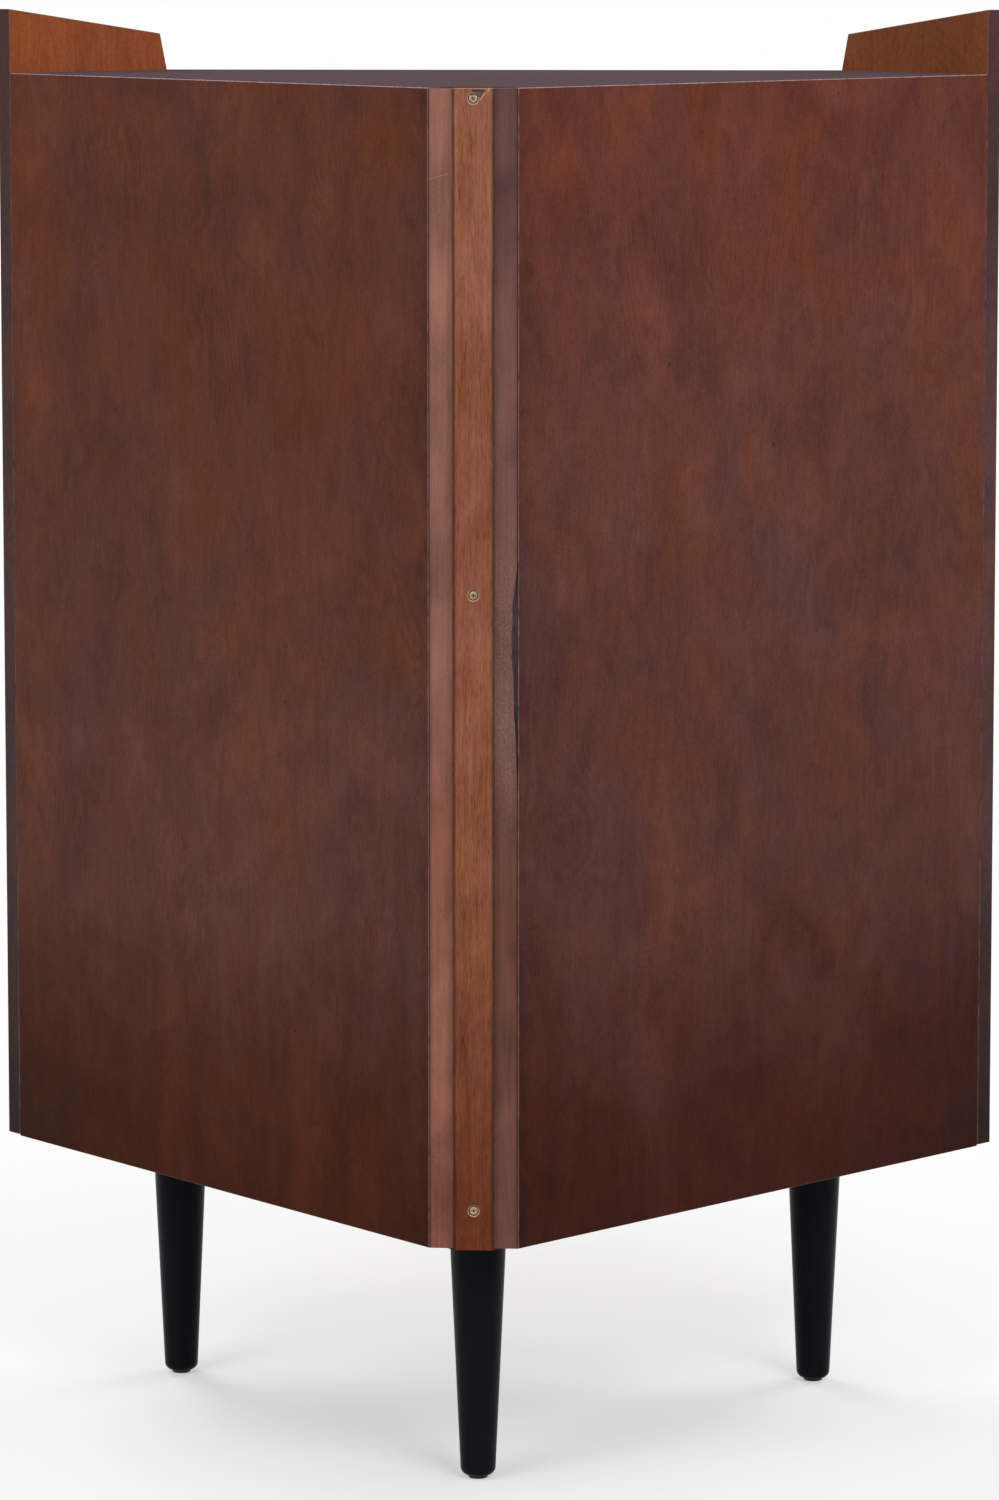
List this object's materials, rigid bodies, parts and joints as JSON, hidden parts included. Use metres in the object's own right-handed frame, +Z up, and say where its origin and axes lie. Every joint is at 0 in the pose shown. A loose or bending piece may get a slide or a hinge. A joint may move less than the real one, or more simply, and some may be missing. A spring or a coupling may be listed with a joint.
{
  "type": "corner bar cabinet",
  "caption": "Five-sided corner bar cabinet on three tapered legs: diagonal doors, raised side panels, glass rails, bottle rack and shelves.",
  "frame": {"origin": "on the floor, under the middle of the outline", "axes": "+X to the right of someone facing the doors, +Y towards the corner of the room, +Z up"},
  "size_m": [0.8138, 0.504, 1.1285],
  "materials": {
    "panel_veneer": "satin red-brown stain",
    "board_veneer": "satin red-brown stain",
    "post_wood": "thin orange-brown stain, open pores",
    "black_lacquer": "black satin lacquer",
    "aged_brass": "aged satin",
    "zinc_steel": "zinc plated",
    "black_nylon": "matt"
  },
  "bodies": {
    "case": {"top_panel": "board_veneer", "middle_shelf": "board_veneer", "bottom_panel": "board_veneer", "adjustable_shelf": "board_veneer", "right_back_panel": "panel_veneer", "left_back_panel": "panel_veneer", "right_side_panel": "panel_veneer", "left_side_panel": "panel_veneer", "corner_post": "post_wood", "post_screw_top": "aged_brass", "post_screw_middle": "aged_brass", "post_screw_bottom": "aged_brass", "right_front_stile": "panel_veneer", "left_front_stile": "panel_veneer", "front_rail": "panel_veneer", "rear_leg": "black_lacquer", "rear_leg_bolt": "zinc_steel", "rear_leg_plate": "zinc_steel", "rear_glide": "black_nylon", "right_front_leg": "black_lacquer", "right_front_leg_bolt": "zinc_steel", "right_front_leg_plate": "zinc_steel", "right_front_glide": "black_nylon", "left_front_leg": "black_lacquer", "left_front_leg_bolt": "zinc_steel", "left_front_leg_plate": "zinc_steel", "left_front_glide": "black_nylon", "glass_rail_1": "board_veneer", "glass_rail_2": "board_veneer", "glass_rail_3": "board_veneer", "glass_rail_4": "board_veneer", "front_bottle_cradle": "board_veneer", "rear_bottle_cradle": "board_veneer", "right_rear_shelf_pin": "zinc_steel", "right_front_shelf_pin": "zinc_steel", "right_magnetic_catch": "black_nylon", "right_upper_hinge_frame_leaf": "aged_brass", "right_upper_hinge_pin": "aged_brass", "right_lower_hinge_frame_leaf": "aged_brass", "right_lower_hinge_pin": "aged_brass", "left_rear_shelf_pin": "zinc_steel", "left_front_shelf_pin": "zinc_steel", "left_magnetic_catch": "black_nylon", "left_upper_hinge_frame_leaf": "aged_brass", "left_upper_hinge_pin": "aged_brass", "left_lower_hinge_frame_leaf": "aged_brass", "left_lower_hinge_pin": "aged_brass"},
    "right_door": {"right_door": "panel_veneer", "right_upper_hinge_door_leaf": "aged_brass", "right_lower_hinge_door_leaf": "aged_brass", "right_knob": "aged_brass", "right_knob_screw": "zinc_steel", "right_strike_plate": "zinc_steel"},
    "left_door": {"left_door": "panel_veneer", "left_upper_hinge_door_leaf": "aged_brass", "left_lower_hinge_door_leaf": "aged_brass", "left_knob": "aged_brass", "left_knob_screw": "zinc_steel", "left_strike_plate": "zinc_steel"}
  },
  "joints": [
    {"name": "right_door_hinge", "type": "hinge", "parent": "case", "child": "right_door", "pos_m": [0.25478, -0.22939, 0.647], "axis": [0, 0, 1], "range_deg": [0, 165]},
    {"name": "left_door_hinge", "type": "hinge", "parent": "case", "child": "left_door", "pos_m": [-0.25478, -0.22939, 0.647], "axis": [0, 0, -1], "range_deg": [0, 165]}
  ]
}
